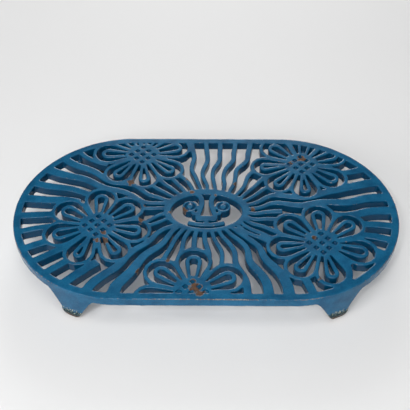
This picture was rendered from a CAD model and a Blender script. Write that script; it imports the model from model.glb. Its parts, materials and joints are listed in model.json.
"""Oval openwork trivet in blue enamelled cast iron: its pieces, its finish and its stage.

Run as a script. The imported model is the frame, and every piece is cast from its own node.
"""

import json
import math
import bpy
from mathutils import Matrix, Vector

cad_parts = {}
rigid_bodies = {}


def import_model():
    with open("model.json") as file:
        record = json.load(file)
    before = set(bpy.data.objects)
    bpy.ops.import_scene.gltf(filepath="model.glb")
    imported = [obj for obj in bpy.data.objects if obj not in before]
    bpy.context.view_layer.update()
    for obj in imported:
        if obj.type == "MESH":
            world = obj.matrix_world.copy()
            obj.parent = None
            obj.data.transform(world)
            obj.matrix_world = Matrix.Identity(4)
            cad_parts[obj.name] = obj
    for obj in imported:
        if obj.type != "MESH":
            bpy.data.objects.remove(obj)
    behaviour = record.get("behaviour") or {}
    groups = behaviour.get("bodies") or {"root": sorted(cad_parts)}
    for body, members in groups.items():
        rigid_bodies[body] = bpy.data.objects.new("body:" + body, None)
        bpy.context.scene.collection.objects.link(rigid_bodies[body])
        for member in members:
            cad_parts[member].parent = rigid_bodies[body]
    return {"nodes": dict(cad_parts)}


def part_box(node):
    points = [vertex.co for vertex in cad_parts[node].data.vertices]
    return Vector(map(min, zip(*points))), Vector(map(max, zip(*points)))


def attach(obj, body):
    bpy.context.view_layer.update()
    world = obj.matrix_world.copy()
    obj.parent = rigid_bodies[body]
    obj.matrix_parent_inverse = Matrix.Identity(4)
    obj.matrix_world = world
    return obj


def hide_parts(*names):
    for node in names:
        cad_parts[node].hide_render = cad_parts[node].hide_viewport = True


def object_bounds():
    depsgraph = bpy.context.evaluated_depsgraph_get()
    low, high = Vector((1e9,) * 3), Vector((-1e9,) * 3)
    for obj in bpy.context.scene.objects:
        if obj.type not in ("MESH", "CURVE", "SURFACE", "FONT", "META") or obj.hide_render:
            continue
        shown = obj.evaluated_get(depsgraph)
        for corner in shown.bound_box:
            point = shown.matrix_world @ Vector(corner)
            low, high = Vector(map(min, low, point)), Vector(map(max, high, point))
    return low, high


bl_info = {
    "name": "Oval openwork trivet",
    "version": (1, 0, 0),
    "blender": (4, 5, 0),
    "location": "3D View > Sidebar > Trivet",
    "description": "Casts the pieces of an openwork trivet, enamels them and sets the stage",
    "category": "Add Mesh",
}

import bmesh
import bpy
import numpy as np
from mathutils import Matrix, Vector
from mathutils.bvhtree import BVHTree

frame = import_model()
CAD_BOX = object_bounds()

BODY = "root"
NODE_NAMES = sorted(frame["nodes"])
MM = 0.001

# A point that stands out this far from its neighbours counts as a full edge.
FULL_BEND = 0.05 * MM
# The share of the corner filling that the pits of the lattices get, so that they stay deep.
LATTICE_FILLING = 0.15
# The heights between which the rounding of the feet grows from nothing to full.
FEET_ROUNDED_BELOW = 26.0 * MM
FEET_ROUND_BELOW = 20.0 * MM
# Points lower than this stand on the table.
TABLE_TOUCH = 0.5 * MM
# Passes that straighten the cuts, and the fewest faces that a patch of a piece keeps.
CUT_PASSES = 6
FEWEST_FACES = 200
# Faces that meet at a blunter angle than this are shaded as one round surface.
SMOOTH_ANGLE = math.radians(55.0)
# The number of directions in which the oval outline is measured.
OUTLINE_TURNS = 720

# Where the finish changes: heights of the chips and the toes, and bands inside the outline.
CHIPS_FROM = 25.0 * MM
CHIPS_FULL = 31.0 * MM
TOE_FINISH_TOP = 18.0 * MM
WALLS_FROM = 2.0 * MM
WALLS_FULL = 4.0 * MM
WORN_LINE_WIDTH = 1.5 * MM
WORN_LINE_MIDDLE = 0.3 * MM

# The round floor, its raised rim and the steps of the backdrop above the rim, in metres.
FLOOR_RADIUS = 2.6
FLOOR_RIM = 0.5
BACKDROP_LIFTS = (0.12, 0.3, 1.1)

# The camera: height and turn round the target, roll (radians), distance and target (metres).
CAMERA_HEIGHT = 0.76818
CAMERA_TURN = 0.013756
CAMERA_ROLL = -0.0044236
CAMERA_DISTANCE = 0.6241035
CAMERA_TARGET = (-0.0007968, 0.0062734, 0.034)

# The soft square lamps: name, turn to the right of the viewer, height (degrees) and side (metres).
LAMPS = (
    ("front", 0.0, 44.0, 0.7),
    ("glint", -22.0, 46.0, 0.12),
    ("left", -45.0, 25.0, 0.7),
    ("top", 0.0, 75.0, 0.7),
    ("sheen", 180.0, 40.0, 0.7),
    ("back", 180.0, 18.0, 0.7),
)

# The bare and rusty places of the enamel: x, y in millimetres, radius in millimetres and strength.
CHIPS = (
    (-7.0, -84.0, 7.0, 1.0),
    (-4.0, -89.0, 4.6, 0.9),
    (-9.0, -77.5, 4.0, 0.8),
    (-29.0, -56.0, 2.4, 0.75),
    (-51.0, -67.5, 3.4, 0.8),
    (-113.0, 62.5, 2.6, 0.75),
    (-124.0, -43.0, 2.4, 0.7),
    (-12.0, 22.0, 3.4, 0.9),
    (25.0, 33.0, 3.0, 0.85),
    (-15.0, 39.0, 4.2, 0.8),
    (-65.5, 34.5, 5.0, 0.95),
    (8.0, 19.0, 2.4, 0.7),
    (-53.0, -11.0, 4.0, 0.9),
    (-51.0, 5.5, 2.6, 0.8),
    (-83.0, -26.0, 4.4, 0.8),
    (-81.5, -35.0, 4.6, 0.95),
    (-87.5, -35.0, 3.6, 0.85),
    (-18.0, 1.0, 4.0, 0.7),
    (81.0, 83.0, 3.0, 0.7),
    (85.5, 67.0, 6.0, 0.85),
    (76.0, 62.0, 4.0, 0.6),
    (39.5, 2.0, 2.6, 0.7),
    (-31.0, -3.0, 3.0, 0.5),
    (87.5, -30.0, 3.0, 0.65),
    (88.5, -73.5, 2.4, 0.6),
    (151.5, -8.0, 3.0, 0.6),
)


class TrivetCastSizes(bpy.types.PropertyGroup):
    """Sizes of the casting's surface."""

    grain: bpy.props.FloatProperty(
        name="Grain", description="Size of the mesh faces of the casting",
        default=0.55 * MM, min=0.4 * MM, max=2.0 * MM, subtype="DISTANCE", unit="LENGTH")
    edge_rounds: bpy.props.IntProperty(
        name="Edge rounding", description="Passes that round the edges, as thick enamel does",
        default=4, min=0, max=30)
    hollow_rounds: bpy.props.IntProperty(
        name="Corner filling", description="Further passes that fill the inner corners with enamel",
        default=24, min=0, max=80)
    foot_rounds: bpy.props.IntProperty(
        name="Foot rounding", description="Further passes that round the feet",
        default=26, min=0, max=120)
    toe_height: bpy.props.FloatProperty(
        name="Toe height", description="Height up to which a foot is drawn in to a round toe",
        default=10.0 * MM, min=1.0 * MM, max=26.0 * MM, subtype="DISTANCE", unit="LENGTH")
    toe_flat_share: bpy.props.FloatProperty(
        name="Toe flat", description="Share of a toe's width that rests on the table",
        default=0.35, min=0.1, max=1.0, subtype="FACTOR")
    overlap: bpy.props.FloatProperty(
        name="Overlap", description="How far the pieces run into each other when they are fused",
        default=0.12 * MM, min=0.0, max=0.5 * MM, subtype="DISTANCE", unit="LENGTH")
    cut_depth: bpy.props.FloatProperty(
        name="Cut depth", description="How deep inside the iron the cuts between pieces are closed",
        default=0.9 * MM, min=0.0, max=2.0 * MM, subtype="DISTANCE", unit="LENGTH")
    coat: bpy.props.FloatProperty(
        name="Coat", description="Thickness that the enamel gives back to the rounded iron",
        default=0.1 * MM, min=0.0, max=1.0 * MM, subtype="DISTANCE", unit="LENGTH")
    unevenness: bpy.props.FloatProperty(
        name="Unevenness", description="How far the hand-made surface wanders",
        default=0.3 * MM, min=0.0, max=1.0 * MM, subtype="DISTANCE", unit="LENGTH")
    wander_size: bpy.props.FloatProperty(
        name="Wander size", description="Length of one swell of the uneven surface",
        default=9.0 * MM, min=2.0 * MM, max=60.0 * MM, subtype="DISTANCE", unit="LENGTH")


class TrivetEnamelLook(bpy.types.PropertyGroup):
    """Colours and gloss of the enamel and of the bare iron."""

    blue: bpy.props.FloatVectorProperty(
        name="Enamel blue", description="Colour of the enamel on the flats",
        default=(0.006, 0.094, 0.195), size=3, min=0.0, max=1.0, subtype="COLOR")
    deep_blue: bpy.props.FloatVectorProperty(
        name="Pooled blue", description="Colour where the enamel has pooled in corners",
        default=(0.002, 0.035, 0.095), size=3, min=0.0, max=1.0, subtype="COLOR")
    wall_blue: bpy.props.FloatVectorProperty(
        name="Wall blue", description="Colour of the enamel down the walls of the openings",
        default=(0.0, 0.04, 0.095), size=3, min=0.0, max=1.0, subtype="COLOR")
    thin_blue: bpy.props.FloatVectorProperty(
        name="Thin blue", description="Colour where the enamel is thin on an edge",
        default=(0.03, 0.16, 0.30), size=3, min=0.0, max=1.0, subtype="COLOR")
    rust: bpy.props.FloatVectorProperty(
        name="Rust", description="Colour of rust in the chips",
        default=(0.125, 0.052, 0.02), size=3, min=0.0, max=1.0, subtype="COLOR")
    burnt: bpy.props.FloatVectorProperty(
        name="Burnt toes", description="Colour of the dark enamel on the toes",
        default=(0.007, 0.028, 0.035), size=3, min=0.0, max=1.0, subtype="COLOR")
    ground_coat: bpy.props.FloatVectorProperty(
        name="Ground coat", description="Pale coat under the blue, seen where it has flaked",
        default=(0.36, 0.38, 0.30), size=3, min=0.0, max=1.0, subtype="COLOR")
    iron: bpy.props.FloatVectorProperty(
        name="Iron", description="Colour of bare iron",
        default=(0.045, 0.04, 0.036), size=3, min=0.0, max=1.0, subtype="COLOR")
    stain: bpy.props.FloatVectorProperty(
        name="Stain", description="Colour of the enamel that rust has stained round a chip",
        default=(0.30, 0.22, 0.13), size=3, min=0.0, max=1.0, subtype="COLOR")
    gloss: bpy.props.FloatProperty(
        name="Roughness", description="Roughness of the enamel, low is glossy",
        default=0.15, min=0.0, max=1.0, subtype="FACTOR")
    bare_roughness: bpy.props.FloatProperty(
        name="Bare roughness", description="Roughness of the bare and rusty iron",
        default=0.72, min=0.0, max=1.0, subtype="FACTOR")


class TrivetStageLook(bpy.types.PropertyGroup):
    """Floor, lamps and camera."""

    floor_colour: bpy.props.FloatVectorProperty(
        name="Floor", description="Colour of the floor and backdrop",
        default=(0.80, 0.80, 0.80), size=3, min=0.0, max=1.0, subtype="COLOR")
    front_power: bpy.props.FloatProperty(
        name="Front lamp", description="Power of the soft lamp above the viewer",
        default=12.5, min=0.0, max=500.0, unit="POWER")
    glint_power: bpy.props.FloatProperty(
        name="Glint lamp", description="Power of the small lamp that the round edges mirror",
        default=5.0, min=0.0, max=500.0, unit="POWER")
    left_power: bpy.props.FloatProperty(
        name="Left lamp", description="Power of the soft lamp in front on the left",
        default=8.7, min=0.0, max=500.0, unit="POWER")
    top_power: bpy.props.FloatProperty(
        name="Top lamp", description="Power of the soft lamp overhead",
        default=5.5, min=0.0, max=500.0, unit="POWER")
    sheen_power: bpy.props.FloatProperty(
        name="Sheen lamp", description="Power of the soft lamp that the flats mirror",
        default=1.1, min=0.0, max=500.0, unit="POWER")
    back_power: bpy.props.FloatProperty(
        name="Back lamp", description="Power of the low soft lamp behind",
        default=12.6, min=0.0, max=500.0, unit="POWER")
    lamp_distance: bpy.props.FloatProperty(
        name="Lamp distance", description="Distance from each lamp to the trivet",
        default=1.6, min=0.5, max=5.0, subtype="DISTANCE", unit="LENGTH")
    room_light: bpy.props.FloatProperty(
        name="Room light", description="Strength of the plain light from all around",
        default=0.02, min=0.0, max=2.0)
    lens: bpy.props.FloatProperty(
        name="Lens", description="Focal length of the camera",
        default=64.996, min=10.0, max=300.0, subtype="DISTANCE_CAMERA")


def leave_edit_mode():
    """Goes back to object mode, where objects are selected and joined."""
    if bpy.context.object is not None and bpy.context.object.mode != "OBJECT":
        bpy.ops.object.mode_set(mode="OBJECT")


def pick(*objects):
    """Selects only these objects and makes the first one active."""
    leave_edit_mode()
    bpy.ops.object.select_all(action="DESELECT")
    for piece in objects:
        piece.select_set(True)
    bpy.context.view_layer.objects.active = objects[0]


def modify(piece, kind, name, **settings):
    """Adds a modifier and applies it."""
    pick(piece)
    modifier = piece.modifiers.new(name, kind)
    for key, value in settings.items():
        setattr(modifier, key, value)
    bpy.ops.object.modifier_apply(modifier=modifier.name)


def points_of(mesh):
    """The places of the points, a row each."""
    points = np.empty(len(mesh.vertices) * 3, np.float32)
    mesh.vertices.foreach_get("co", points)
    return points.reshape(-1, 3)


def set_points(mesh, points):
    """Moves the points to these places."""
    mesh.vertices.foreach_set("co", np.ascontiguousarray(points, np.float32).ravel())
    mesh.update()


def edges_of(mesh):
    """The two points of each edge, a row each."""
    edges = np.empty(len(mesh.edges) * 2, np.int32)
    mesh.edges.foreach_get("vertices", edges)
    return edges.reshape(-1, 2)


def spread(values, edges, passes):
    """Averages a value per point with its neighbours."""
    for _ in range(passes):
        total = np.zeros_like(values)
        number = np.zeros(len(values), np.float32)
        for a, b in ((0, 1), (1, 0)):
            np.add.at(total, edges[:, a], values[edges[:, b]])
            np.add.at(number, edges[:, a], 1.0)
        number = np.maximum(number, 1.0)
        values = values * 0.4 + total / number * 0.6
    return values


def smooth_step(low, high, value):
    """0 at low and 1 at high, or the other way round where high is the smaller."""
    share = np.clip((value - low) / (high - low), 0.0, 1.0)
    return share * share * (3.0 - 2.0 * share)


def store(mesh, name, values):
    """Keeps a value per point as a named attribute that the material reads."""
    layer = mesh.attributes.get(name) or mesh.attributes.new(name, "FLOAT", "POINT")
    layer.data.foreach_set("value", np.ascontiguousarray(values, np.float32))


def join_nodes(overlap):
    """One mesh from copies of all the CAD nodes, each merged and then swollen by the overlap."""
    copies = []
    for name in NODE_NAMES:
        mesh = frame["nodes"][name].data.copy()
        mesh.materials.clear()
        copy = bpy.data.objects.new(name + "_copy", mesh)
        bpy.context.scene.collection.objects.link(copy)
        copies.append(copy)
    pick(*copies)
    bpy.ops.object.mode_set(mode="EDIT")
    bpy.ops.mesh.select_all(action="SELECT")
    bpy.ops.mesh.remove_doubles(threshold=0.01 * MM)
    bpy.ops.object.mode_set(mode="OBJECT")
    bpy.ops.object.join()
    casting = bpy.context.view_layer.objects.active
    casting.name = "casting"
    modify(casting, "DISPLACE", "Overlap", strength=overlap, mid_level=0.0)
    return casting


def drop_inner_shells(casting):
    """Removes any closed bubble that the fusing left inside the iron."""
    shell = bmesh.new()
    shell.from_mesh(casting.data)
    shell.verts.ensure_lookup_table()
    seen = np.zeros(len(shell.verts), bool)
    islands = []
    for start in shell.verts:
        if seen[start.index]:
            continue
        island, stack = [], [start]
        seen[start.index] = True
        while stack:
            point = stack.pop()
            island.append(point)
            for edge in point.link_edges:
                other = edge.other_vert(point)
                if not seen[other.index]:
                    seen[other.index] = True
                    stack.append(other)
        islands.append(island)
    islands.sort(key=len)
    for island in islands[:-1]:
        bmesh.ops.delete(shell, geom=island, context="VERTS")
    shell.to_mesh(casting.data)
    shell.free()


def bend_of(mesh):
    """How far each point stands out of its neighbours, along its normal, and the edges."""
    points, edges = points_of(mesh), edges_of(mesh)
    count = len(points)
    normals = np.empty(count * 3, np.float32)
    mesh.vertex_normals.foreach_get("vector", normals)
    normals = normals.reshape(-1, 3)
    near = np.zeros_like(points)
    number = np.zeros(count, np.float32)
    for a, b in ((0, 1), (1, 0)):
        np.add.at(near, edges[:, a], points[edges[:, b]])
        np.add.at(number, edges[:, a], 1.0)
    near /= number[:, None]
    bend = -np.einsum("ij,ij->i", near - points, normals)
    return spread(bend, edges, 3) / FULL_BEND, normals, edges


def add_group(piece, name, weights):
    """A vertex group with a weight per point, in steps of a tenth."""
    group = piece.vertex_groups.new(name=name)
    steps = np.round(np.clip(weights, 0.0, 1.0) * 10.0)
    for step in range(1, 11):
        group.add([int(i) for i in np.nonzero(steps == step)[0]], step * 0.1, "REPLACE")
    return group.name


def hollow_weights(mesh):
    """Weights that are full in the inner corners and fade over the next millimetres."""
    bend, _, edges = bend_of(mesh)
    hollow = np.clip(-1.5 * bend - 0.3, 0.0, 1.0)
    weights = spread(hollow, edges, 6) * 3.0
    points = points_of(mesh)
    for name in NODE_NAMES:
        if not name.endswith("_centre"):
            continue
        low, high = (np.array(corner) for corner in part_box(name))
        middle, half = (low + high) / 2.0, (high - low) / 2.0
        away = np.hypot((points[:, 0] - middle[0]) / half[0], (points[:, 1] - middle[1]) / half[1])
        weights *= np.where(away < 0.9, LATTICE_FILLING, 1.0)
    return weights


def round_toes(mesh, sizes):
    """Draws the lower end of each foot in to a round toe."""
    points = points_of(mesh)
    for side_x in (-1.0, 1.0):
        for side_y in (-1.0, 1.0):
            toe = (points[:, 0] * side_x > 0.0) & (points[:, 1] * side_y > 0.0)
            toe &= points[:, 2] < sizes.toe_height
            flat = points[toe, :2]
            middle = flat.mean(0)
            _, axes = np.linalg.eigh(np.cov((flat - middle).T))
            places = (flat - middle) @ axes
            share = np.clip(points[toe, 2] / sizes.toe_height, 0.0, 1.0)
            drawn = np.sqrt(np.maximum(1.0 - (1.0 - share) ** 2, sizes.toe_flat_share ** 2))
            places[:, 0] *= 0.5 + 0.5 * drawn
            places[:, 1] *= drawn
            points[toe, :2] = middle + places @ axes.T
    set_points(mesh, points)


def keep_inside_box(mesh):
    """Sets the toes flat on the table and keeps every point inside the CAD box."""
    points = points_of(mesh)
    points[:, 2] = np.where(points[:, 2] < TABLE_TOUCH, 0.0, points[:, 2])
    low, high = (np.array(corner, np.float32) for corner in CAD_BOX)
    set_points(mesh, np.clip(points, low, high))


def distance_from_outline(points):
    """How far each point lies inside the oval outline, measured towards the middle."""
    angle = np.arctan2(points[:, 1] / CAD_BOX[1][1], points[:, 0] / CAD_BOX[1][0])
    turn = np.round(angle / (2.0 * math.pi) * OUTLINE_TURNS).astype(int) % OUTLINE_TURNS
    reach = np.hypot(points[:, 0], points[:, 1])
    outline = np.zeros(OUTLINE_TURNS)
    np.maximum.at(outline, turn, reach)
    return outline[turn] - reach


def measure_surface(mesh):
    """Works out where the surface bends out or in and where it is worn, for the material."""
    points = points_of(mesh)
    bend, normals, edges = bend_of(mesh)
    store(mesh, "edge_share", np.clip(bend, 0.0, 1.0))
    store(mesh, "crease_share", np.clip(spread(-bend, edges, 2), 0.0, 1.0))
    wear = np.zeros(len(points), np.float32)
    top = smooth_step(CHIPS_FROM, CHIPS_FULL, points[:, 2])
    for x, y, radius, strength in CHIPS:
        away = np.hypot(points[:, 0] - x * MM, points[:, 1] - y * MM) / (radius * MM)
        wear = np.maximum(wear, strength * top * (1.0 - smooth_step(0.2, 1.15, away)))
    store(mesh, "wear_share", wear)
    store(mesh, "toe_share", 1.0 - smooth_step(0.0, TOE_FINISH_TOP, points[:, 2]))
    inward = distance_from_outline(points)
    lean = smooth_step(0.05, 0.45, 1.0 - np.abs(normals[:, 2]))
    store(mesh, "wall_share", lean * smooth_step(WALLS_FROM, WALLS_FULL, inward))
    below_top = CAD_BOX[1][2] - points[:, 2]
    beside = smooth_step(WORN_LINE_WIDTH, WORN_LINE_MIDDLE, inward)
    below = smooth_step(WORN_LINE_WIDTH, WORN_LINE_MIDDLE, below_top)
    store(mesh, "rim_edge_share", beside * below)


def node_of_each_face(mesh):
    """The number of the CAD node that each face of the fused casting lies nearest to."""
    corners, triangles, owner = [], [], []
    for number, name in enumerate(NODE_NAMES):
        node = frame["nodes"][name].data
        node.calc_loop_triangles()
        base = len(corners)
        corners.extend(v.co.copy() for v in node.vertices)
        for triangle in node.loop_triangles:
            triangles.append([base + v for v in triangle.vertices])
            owner.append(number)
    tree = BVHTree.FromPolygons(corners, triangles)
    owner = np.array(owner)
    middles = np.empty(len(mesh.polygons) * 3, np.float32)
    mesh.polygons.foreach_get("center", middles)
    middles = middles.reshape(-1, 3)
    nearest = [tree.find_nearest(Vector(m))[2] for m in middles]
    return owner[np.array(nearest)]


def face_neighbours(mesh):
    """For each face, the faces across its edges, as pairs."""
    edge_of_corner = np.empty(len(mesh.loops), np.int32)
    mesh.loops.foreach_get("edge_index", edge_of_corner)
    corner_count = np.empty(len(mesh.polygons), np.int32)
    mesh.polygons.foreach_get("loop_total", corner_count)
    face_of_corner = np.repeat(np.arange(len(mesh.polygons)), corner_count)
    order = np.argsort(edge_of_corner, kind="stable")
    edges, faces = edge_of_corner[order], face_of_corner[order]
    same = edges[1:] == edges[:-1]
    return np.stack([faces[:-1][same], faces[1:][same]], 1)


def settle_labels(mesh, labels, passes):
    """Each face takes the node that most of its neighbours have, so cuts run clean."""
    pairs = face_neighbours(mesh)
    both = np.concatenate([pairs, pairs[:, ::-1]])
    both = both[np.argsort(both[:, 0], kind="stable")]
    count = len(NODE_NAMES)
    for _ in range(passes):
        key = both[:, 0].astype(np.int64) * count + labels[both[:, 1]]
        key = np.concatenate([key, np.arange(len(labels), dtype=np.int64) * count + labels])
        found, votes = np.unique(key, return_counts=True)
        face, label = found // count, found % count
        best = np.lexsort((votes, face))
        last = np.append(face[best][1:] != face[best][:-1], True)
        labels = label[best][last]
    return labels


def absorb_crumbs(mesh, labels, smallest):
    """Gives each patch of fewer faces than the smallest to the piece beside it."""
    pairs = face_neighbours(mesh)
    both = np.concatenate([pairs, pairs[:, ::-1]])
    same = both[labels[both[:, 0]] == labels[both[:, 1]]]
    patch = np.arange(len(labels))
    while True:
        before = patch.copy()
        np.minimum.at(patch, same[:, 0], patch[same[:, 1]])
        patch = patch[patch]
        if np.array_equal(before, patch):
            break
    crumb = np.bincount(patch, minlength=len(labels))[patch] < smallest
    while crumb.any():
        edge = both[crumb[both[:, 0]] & ~crumb[both[:, 1]]]
        if not len(edge):
            break
        labels[edge[:, 0]] = labels[edge[:, 1]]
        crumb[edge[:, 0]] = False
    return labels


class TRIVET_OT_cast(bpy.types.Operator):
    """Fuses copies of all the nodes into one casting with rounded edges"""

    bl_idname = "trivet.cast"
    bl_label = "Cast the trivet"

    def execute(self, context):
        sizes = context.scene.trivet_cast
        casting = join_nodes(sizes.overlap)
        modify(casting, "REMESH", "Fuse", mode="VOXEL", voxel_size=sizes.grain)
        drop_inner_shells(casting)
        modify(casting, "SMOOTH", "Enamel edges", factor=0.5, iterations=sizes.edge_rounds)
        hollows = add_group(casting, "hollows", hollow_weights(casting.data))
        modify(casting, "SMOOTH", "Filled corners", factor=0.5, iterations=sizes.hollow_rounds,
               vertex_group=hollows)
        heights = points_of(casting.data)[:, 2]
        low = smooth_step(FEET_ROUNDED_BELOW, FEET_ROUND_BELOW, heights)
        feet = add_group(casting, "feet", low * (heights > 0.2 * MM))
        modify(casting, "SMOOTH", "Foot edges", factor=0.5, iterations=sizes.foot_rounds,
               vertex_group=feet)
        casting.vertex_groups.clear()
        round_toes(casting.data, sizes)
        swells = bpy.data.textures.new("swells", "CLOUDS")
        swells.noise_scale = sizes.wander_size
        swells.noise_depth = 1
        modify(casting, "DISPLACE", "Hand-made surface", texture=swells,
               texture_coords="LOCAL", strength=sizes.unevenness,
               mid_level=0.5 - sizes.coat / sizes.unevenness)
        keep_inside_box(casting.data)
        measure_surface(casting.data)
        labels = settle_labels(casting.data, node_of_each_face(casting.data), CUT_PASSES)
        labels = absorb_crumbs(casting.data, labels, FEWEST_FACES)
        casting.data.materials.clear()
        for name in NODE_NAMES:
            casting.data.materials.append(bpy.data.materials.new("cut_" + name))
        casting.data.polygons.foreach_set("material_index", labels.astype(np.int32))
        pick(casting)
        bpy.ops.object.mode_set(mode="EDIT")
        bpy.ops.mesh.select_all(action="SELECT")
        bpy.ops.mesh.separate(type="MATERIAL")
        bpy.ops.object.mode_set(mode="OBJECT")
        for piece in list(context.scene.objects):
            if piece.type != "MESH" or piece in frame["nodes"].values():
                continue
            used = piece.data.polygons[0].material_index
            piece.name = piece.data.materials[used].name.replace("cut_", "cast_")
        return {"FINISHED"}


def close_cuts(mesh, depth):
    """Closes each cut with a face that lies a little inside the iron, so that it never shows."""
    shell = bmesh.new()
    shell.from_mesh(mesh)
    cuts = [edge for edge in shell.edges if edge.is_boundary]
    normals = {point: point.normal.copy() for edge in cuts for point in edge.verts}
    made = bmesh.ops.extrude_edge_only(shell, edges=cuts)["geom"]
    for point in (item for item in made if isinstance(item, bmesh.types.BMVert)):
        for edge in point.link_edges:
            start = edge.other_vert(point)
            if start in normals:
                point.co = start.co - normals[start] * depth
                break
    bmesh.ops.holes_fill(shell, edges=[edge for edge in shell.edges if edge.is_boundary], sides=0)
    bmesh.ops.recalc_face_normals(shell, faces=shell.faces)
    shell.to_mesh(mesh)
    shell.free()


def finish_piece(name, material):
    """Closes the cuts of one piece, smooths its shading and sets it in place of its node."""
    piece = bpy.data.objects["cast_" + name]
    pick(piece)
    close_cuts(piece.data, bpy.context.scene.trivet_cast.cut_depth)
    piece.data.materials.clear()
    piece.data.materials.append(material)
    piece.data.polygons.foreach_set(
        "material_index", np.zeros(len(piece.data.polygons), np.int32))
    bpy.ops.object.shade_smooth_by_angle(angle=SMOOTH_ANGLE)
    piece.name = name + "_enamelled"
    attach(piece, BODY)
    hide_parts(name)


def new_node(tree, kind, place, **values):
    """Adds a node at a place in the tree and sets its values."""
    node = tree.nodes.new(kind)
    node.location = place
    for key, value in values.items():
        setattr(node, key, value)
    return node


def ramp(tree, place, value, stops):
    """A ramp between greys, from (position, grey) stops."""
    node = new_node(tree, "ShaderNodeValToRGB", place)
    elements = node.color_ramp.elements
    while len(elements) < len(stops):
        elements.new(0.5)
    for element, (position, grey) in zip(elements, stops):
        element.position = position
        element.color = (grey, grey, grey, 1.0)
    tree.links.new(value, node.inputs["Fac"])
    return node.outputs["Color"]


def noise(tree, place, where, scale, detail=3.0, roughness=0.55):
    """A noise between 0 and 1 over the object's own coordinates."""
    node = new_node(tree, "ShaderNodeTexNoise", place)
    node.inputs["Scale"].default_value = scale
    node.inputs["Detail"].default_value = detail
    node.inputs["Roughness"].default_value = roughness
    tree.links.new(where, node.inputs["Vector"])
    return node.outputs["Fac"]


def fill_socket(tree, socket, value):
    """Sets a plain value on a socket, or links another node's output to it."""
    if isinstance(value, (float, tuple)):
        socket.default_value = value
    else:
        tree.links.new(value, socket)


def calculate(tree, place, operation, first, second):
    """One sum or product of two values."""
    node = new_node(tree, "ShaderNodeMath", place, operation=operation)
    fill_socket(tree, node.inputs[0], first)
    fill_socket(tree, node.inputs[1], second)
    return node.outputs[0]


def mix_colour(tree, place, share, first, second):
    """The first colour, with this share of the second in it."""
    node = new_node(tree, "ShaderNodeMix", place, data_type="RGBA")
    fill_socket(tree, node.inputs[0], share)
    fill_socket(tree, node.inputs[6], first)
    fill_socket(tree, node.inputs[7], second)
    return node.outputs[2]


def rgba(colour, strength=1.0):
    """A colour, made darker or lighter, as a socket takes it."""
    return tuple(min(1.0, part * strength) for part in colour[:3]) + (1.0,)


def enamel_colour(tree, look, share, grain):
    """The blue glass: uneven on the flats, dark in corners and down walls, thin on edges."""
    uneven = ramp(tree, (-950, 300), grain["broad"], ((0.3, 0.0), (0.7, 1.0)))
    blue = mix_colour(tree, (-700, 300), uneven, rgba(look.blue, 0.80), rgba(look.blue, 1.14))
    mottled = ramp(tree, (-950, 450), grain["specks"], ((0.35, 0.0), (0.65, 0.3)))
    blue = mix_colour(tree, (-600, 400), mottled, blue, rgba(look.thin_blue))
    clouds = ramp(tree, (-950, 600), grain["cloudy"], ((0.42, 0.0), (0.68, 0.5)))
    blue = mix_colour(tree, (-550, 500), clouds, blue, rgba(look.deep_blue))
    pooled = ramp(tree, (-950, 100), share["crease"], ((0.08, 0.0), (0.75, 1.0)))
    blue = mix_colour(tree, (-500, 250), pooled, blue, rgba(look.deep_blue))
    blue = mix_colour(tree, (-400, 400), share["wall"], blue, rgba(look.wall_blue))
    thin = ramp(tree, (-950, -100), share["edge"], ((0.4, 0.0), (1.0, 0.15)))
    return mix_colour(tree, (-300, 200), thin, blue, rgba(look.thin_blue))


def chip_levels(tree, share, grain):
    """How near each place is to a chip and to the foot of a toe, both with ragged borders."""
    ragged = calculate(tree, (-900, -300), "MULTIPLY", grain["fine_off"], 1.5)
    chip_level = calculate(tree, (-700, -300), "ADD", share["wear"], ragged)
    edge_help = calculate(tree, (-700, -450), "MULTIPLY", share["edge"], 0.28)
    chip_level = calculate(tree, (-500, -300), "ADD", chip_level, edge_help)
    ragged = calculate(tree, (-900, -600), "MULTIPLY", grain["fine_off"], 0.5)
    toe_level = calculate(tree, (-700, -600), "ADD", share["toe"], ragged)
    return chip_level, toe_level


def toe_and_chip_borders(tree, look, grain, blue, chip_level, toe_level):
    """The enamel browned round the chips, burnt on the toes and flaked above the burn."""
    rim_tint = ramp(tree, (-300, -900), chip_level, ((0.45, 0.0), (0.62, 0.55), (0.72, 0.0)))
    blue = mix_colour(tree, (-50, 200), rim_tint, blue, rgba(look.stain))
    burnt_toe = ramp(tree, (-300, -600), toe_level, ((0.36, 0.0), (0.48, 1.0)))
    blue = mix_colour(tree, (0, 300), burnt_toe, blue, rgba(look.burnt))
    flake_band = ramp(tree, (-300, -1000), toe_level,
                      ((0.26, 0.0), (0.36, 1.0), (0.5, 1.0), (0.6, 0.0)))
    flakes = ramp(tree, (-300, -1150), grain["specks"], ((0.54, 0.0), (0.6, 1.0)))
    flaked = calculate(tree, (-50, -800), "MULTIPLY", flake_band, flakes)
    return mix_colour(tree, (100, 300), flaked, blue, rgba(look.ground_coat))


def worn_line(tree, look, share, grain, blue):
    """The enamel worn through to its ground coat in dashes along the upper edge of the rim."""
    in_parts = calculate(tree, (-200, -1050), "MULTIPLY", grain["broad_off"], 1.6)
    level = calculate(tree, (-50, -950), "ADD", share["rim_edge"], in_parts)
    ragged = calculate(tree, (-100, -1150), "MULTIPLY", grain["fine_off"], 1.8)
    level = calculate(tree, (50, -1000), "ADD", level, ragged)
    dashes = ramp(tree, (100, -1100), level, ((0.7, 0.0), (1.0, 0.7)))
    line = ramp(tree, (100, -1250), share["rim_edge"], ((0.45, 0.0), (0.75, 1.0)))
    worn = calculate(tree, (150, -1000), "MULTIPLY", dashes, line)
    brownish = ramp(tree, (0, 500), grain["specks"], ((0.36, 0.0), (0.5, 0.9)))
    line_colour = mix_colour(tree, (150, 400), brownish, rgba(look.ground_coat), rgba(look.rust))
    return mix_colour(tree, (200, 300), worn, blue, line_colour)


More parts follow.
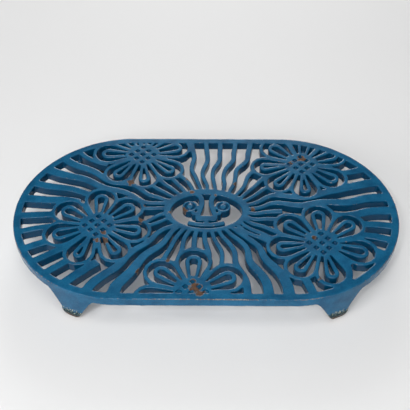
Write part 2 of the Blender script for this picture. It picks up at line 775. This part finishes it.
def surface_relief(tree, where, grain, bare):
    """The ripple of the enamel with the pits of the bare places on top, as a normal."""
    peel = new_node(tree, "ShaderNodeBump", (450, -600))
    peel.inputs["Strength"].default_value = 0.25
    peel.inputs["Distance"].default_value = 0.35 * MM
    tree.links.new(noise(tree, (200, -700), where, 330.0, 2.0), peel.inputs["Height"])
    pitted = new_node(tree, "ShaderNodeBump", (650, -600))
    pitted.inputs["Distance"].default_value = 0.25 * MM
    pitted.invert = True
    rough_iron = calculate(tree, (200, -950), "ADD", grain["specks"], 0.6)
    height = calculate(tree, (450, -850), "MULTIPLY", bare, rough_iron)
    tree.links.new(height, pitted.inputs["Height"])
    tree.links.new(peel.outputs[0], pitted.inputs["Normal"])
    return pitted.outputs[0]


def make_enamel(look):
    """Thick blue enamel on cast iron, with chips, rust and worn toes."""
    material = bpy.data.materials.new("blue_enamel")
    material.use_nodes = True
    tree = material.node_tree
    tree.nodes.clear()
    out = new_node(tree, "ShaderNodeOutputMaterial", (1200, 0))
    shader = new_node(tree, "ShaderNodeBsdfPrincipled", (900, 0))
    tree.links.new(shader.outputs[0], out.inputs["Surface"])
    where = new_node(tree, "ShaderNodeTexCoord", (-1400, 0)).outputs["Object"]

    share = {}
    for row, name in enumerate(("edge", "crease", "wear", "toe", "wall", "rim_edge")):
        reader = new_node(tree, "ShaderNodeAttribute", (-1400, -200 - 150 * row),
                          attribute_name=name + "_share")
        share[name] = reader.outputs["Fac"]
    grain = {
        "broad": noise(tree, (-1150, 300), where, 28.0, 2.0),
        "cloudy": noise(tree, (-1150, 500), where, 95.0, 3.0, 0.55),
        "fine": noise(tree, (-1150, 100), where, 420.0, 4.0, 0.6),
        "specks": noise(tree, (-1150, -100), where, 900.0, 3.0, 0.65),
    }
    grain["fine_off"] = calculate(tree, (-1050, -300), "SUBTRACT", grain["fine"], 0.5)
    grain["broad_off"] = calculate(tree, (-1050, -400), "SUBTRACT", grain["broad"], 0.5)

    chip_level, toe_level = chip_levels(tree, share, grain)
    chip = ramp(tree, (-300, -300), chip_level, ((0.62, 0.0), (0.70, 1.0)))
    rusty_toe = ramp(tree, (-300, -700), toe_level, ((0.68, 0.0), (0.78, 1.0)))
    bare = calculate(tree, (-50, -450), "MAXIMUM", chip, rusty_toe)

    blue = enamel_colour(tree, look, share, grain)
    blue = toe_and_chip_borders(tree, look, grain, blue, chip_level, toe_level)
    blue = worn_line(tree, look, share, grain, blue)
    rusty = ramp(tree, (-300, 0), grain["specks"], ((0.38, 0.0), (0.62, 1.0)))
    metal = mix_colour(tree, (-50, 0), rusty, rgba(look.iron), rgba(look.rust))
    colour = mix_colour(tree, (350, 100), bare, blue, metal)
    tree.links.new(colour, shader.inputs["Base Color"])

    dull = ramp(tree, (200, -250), bare, ((0.0, look.gloss), (1.0, look.bare_roughness)))
    uneven = calculate(tree, (200, -450), "MULTIPLY", grain["broad_off"], 0.12)
    roughness = calculate(tree, (450, -250), "ADD", dull, uneven)
    tree.links.new(roughness, shader.inputs["Roughness"])
    shader.inputs["Specular IOR Level"].default_value = 0.24
    shader.inputs["IOR"].default_value = 1.5
    tree.links.new(surface_relief(tree, where, grain, bare), shader.inputs["Normal"])
    return material


def enamel():
    """The one enamel of all the pieces, made when the first piece needs it."""
    found = bpy.data.materials.get("blue_enamel")
    return found or make_enamel(bpy.context.scene.trivet_look)


def finish_pieces(names):
    """Finishes these pieces, and stops if the casting lacks one."""
    for name in names:
        if "cast_" + name not in bpy.data.objects:
            raise RuntimeError("the casting has no piece for " + name)
        finish_piece(name, enamel())


class TRIVET_OT_rim(bpy.types.Operator):
    """Finishes the oval rim"""

    bl_idname = "trivet.rim"
    bl_label = "Rim"

    def execute(self, context):
        finish_pieces(["rim"])
        return {"FINISHED"}


class TRIVET_OT_feet(bpy.types.Operator):
    """Finishes the four tapered feet with their worn toes"""

    bl_idname = "trivet.feet"
    bl_label = "Feet"

    def execute(self, context):
        finish_pieces([n for n in NODE_NAMES if n.startswith("foot_")])
        return {"FINISHED"}


class TRIVET_OT_sun(bpy.types.Operator):
    """Finishes the ring of the sun with its eyes, nose and mouth"""

    bl_idname = "trivet.sun"
    bl_label = "Sun"

    def execute(self, context):
        finish_pieces([n for n in NODE_NAMES if n.startswith("sun_")])
        return {"FINISHED"}


class TRIVET_OT_daisies(bpy.types.Operator):
    """Finishes the frames, petal loops and lattices of the daisies"""

    bl_idname = "trivet.daisies"
    bl_label = "Daisies"

    def execute(self, context):
        finish_pieces([n for n in NODE_NAMES if n.startswith("daisy_")])
        return {"FINISHED"}


class TRIVET_OT_rays(bpy.types.Operator):
    """Finishes the wavy rays and the ribs at the rim"""

    bl_idname = "trivet.rays"
    bl_label = "Rays and ribs"

    def execute(self, context):
        finish_pieces([n for n in NODE_NAMES if n.startswith(("rays_", "ribs_"))])
        return {"FINISHED"}


def direction(turn, height):
    """The direction at a turn to the right of the viewer and a height, both in radians."""
    return Vector((math.sin(turn) * math.cos(height), -math.cos(turn) * math.cos(height),
                   math.sin(height)))


def add_lamp(look, name, turn, height, side):
    """A square soft lamp at a turn and a height round the middle of the trivet."""
    toward = direction(math.radians(turn), math.radians(height))
    lamp = bpy.data.lights.new(name + "_lamp", "AREA")
    lamp.shape = "SQUARE"
    lamp.size = side
    lamp.energy = getattr(look, name + "_power")
    holder = bpy.data.objects.new(name + "_lamp", lamp)
    bpy.context.scene.collection.objects.link(holder)
    holder.location = toward * look.lamp_distance + Vector((0.0, 0.0, CAD_BOX[1][2]))
    holder.rotation_euler = toward.to_track_quat("Z", "Y").to_euler()


def add_camera(look):
    """The camera stands in front of the long side and about 44 degrees above the table."""
    back = direction(CAMERA_TURN, CAMERA_HEIGHT)
    right = (-back).cross(Vector((0.0, 0.0, 1.0))).normalized()
    up = right.cross(-back)
    rolled_right = math.cos(CAMERA_ROLL) * right + math.sin(CAMERA_ROLL) * up
    rolled_up = -math.sin(CAMERA_ROLL) * right + math.cos(CAMERA_ROLL) * up
    lens = bpy.data.cameras.new("camera")
    lens.sensor_fit = "HORIZONTAL"
    lens.sensor_width = 36.0
    lens.lens = look.lens
    lens.clip_start = 0.05
    camera = bpy.data.objects.new("camera", lens)
    bpy.context.scene.collection.objects.link(camera)
    turned = Matrix((rolled_right, rolled_up, back)).transposed().to_4x4()
    turned.translation = Vector(CAMERA_TARGET) + back * CAMERA_DISTANCE
    camera.matrix_world = turned
    bpy.context.scene.camera = camera


class TRIVET_OT_stage(bpy.types.Operator):
    """Sets up the floor, the backdrop, the soft lamps and the camera"""

    bl_idname = "trivet.stage"
    bl_label = "Stage"

    def execute(self, context):
        look = context.scene.trivet_stage
        leave_edit_mode()
        bpy.ops.object.select_all(action="DESELECT")
        bpy.ops.mesh.primitive_circle_add(vertices=96, radius=FLOOR_RADIUS, fill_type="NGON")
        floor = context.object
        floor.name = "floor"
        bpy.ops.object.mode_set(mode="EDIT")
        bpy.ops.mesh.select_all(action="SELECT")
        bpy.ops.mesh.inset(thickness=FLOOR_RIM)
        bpy.ops.mesh.select_all(action="DESELECT")
        bpy.ops.object.mode_set(mode="OBJECT")
        for vertex in floor.data.vertices:
            vertex.select = vertex.co.xy.length > FLOOR_RADIUS - FLOOR_RIM / 2.0
        bpy.ops.object.mode_set(mode="EDIT")
        bpy.ops.mesh.select_mode(type="VERT")
        for lift in BACKDROP_LIFTS:
            bpy.ops.mesh.extrude_region_move(TRANSFORM_OT_translate={"value": (0.0, 0.0, lift)})
        bpy.ops.object.mode_set(mode="OBJECT")
        pale = bpy.data.materials.new("pale_floor")
        pale.use_nodes = True
        surface = pale.node_tree.nodes["Principled BSDF"]
        surface.inputs["Base Color"].default_value = rgba(look.floor_colour)
        surface.inputs["Roughness"].default_value = 0.75
        surface.inputs["Specular IOR Level"].default_value = 0.2
        floor.data.materials.append(pale)
        bpy.ops.object.shade_smooth()

        room = bpy.data.worlds.new("room")
        room.use_nodes = True
        background = room.node_tree.nodes["Background"]
        background.inputs["Color"].default_value = (1.0, 1.0, 1.0, 1.0)
        background.inputs["Strength"].default_value = look.room_light
        context.scene.world = room
        for name, turn, lamp_height, side in LAMPS:
            add_lamp(look, name, turn, lamp_height, side)
        add_camera(look)
        context.scene.view_settings.view_transform = "Standard"
        return {"FINISHED"}


class TRIVET_PT_panel(bpy.types.Panel):
    """Lists the steps and the sizes of the trivet"""

    bl_idname = "TRIVET_PT_panel"
    bl_label = "Trivet"
    bl_space_type = "VIEW_3D"
    bl_region_type = "UI"
    bl_category = "Trivet"

    def draw(self, context):
        layout = self.layout
        for operator in OPERATORS:
            layout.operator(operator.bl_idname)
        for group in ("trivet_cast", "trivet_look", "trivet_stage"):
            settings = getattr(context.scene, group)
            box = layout.box()
            for key in settings.__annotations__:
                box.prop(settings, key)


GROUPS = {
    "trivet_cast": TrivetCastSizes,
    "trivet_look": TrivetEnamelLook,
    "trivet_stage": TrivetStageLook,
}
OPERATORS = (TRIVET_OT_cast, TRIVET_OT_rim, TRIVET_OT_feet, TRIVET_OT_sun,
             TRIVET_OT_daisies, TRIVET_OT_rays, TRIVET_OT_stage)


def register():
    for group in GROUPS.values():
        bpy.utils.register_class(group)
    for name, group in GROUPS.items():
        setattr(bpy.types.Scene, name, bpy.props.PointerProperty(type=group))
    for operator in OPERATORS:
        bpy.utils.register_class(operator)
    bpy.utils.register_class(TRIVET_PT_panel)


def unregister():
    bpy.utils.unregister_class(TRIVET_PT_panel)
    for operator in reversed(OPERATORS):
        bpy.utils.unregister_class(operator)
    for name, group in GROUPS.items():
        delattr(bpy.types.Scene, name)
        bpy.utils.unregister_class(group)


def main():
    register()
    for step in ("cast", "rim", "feet", "sun", "daisies", "rays", "stage"):
        getattr(bpy.ops.trivet, step)()


if __name__ == "__main__":
    main()
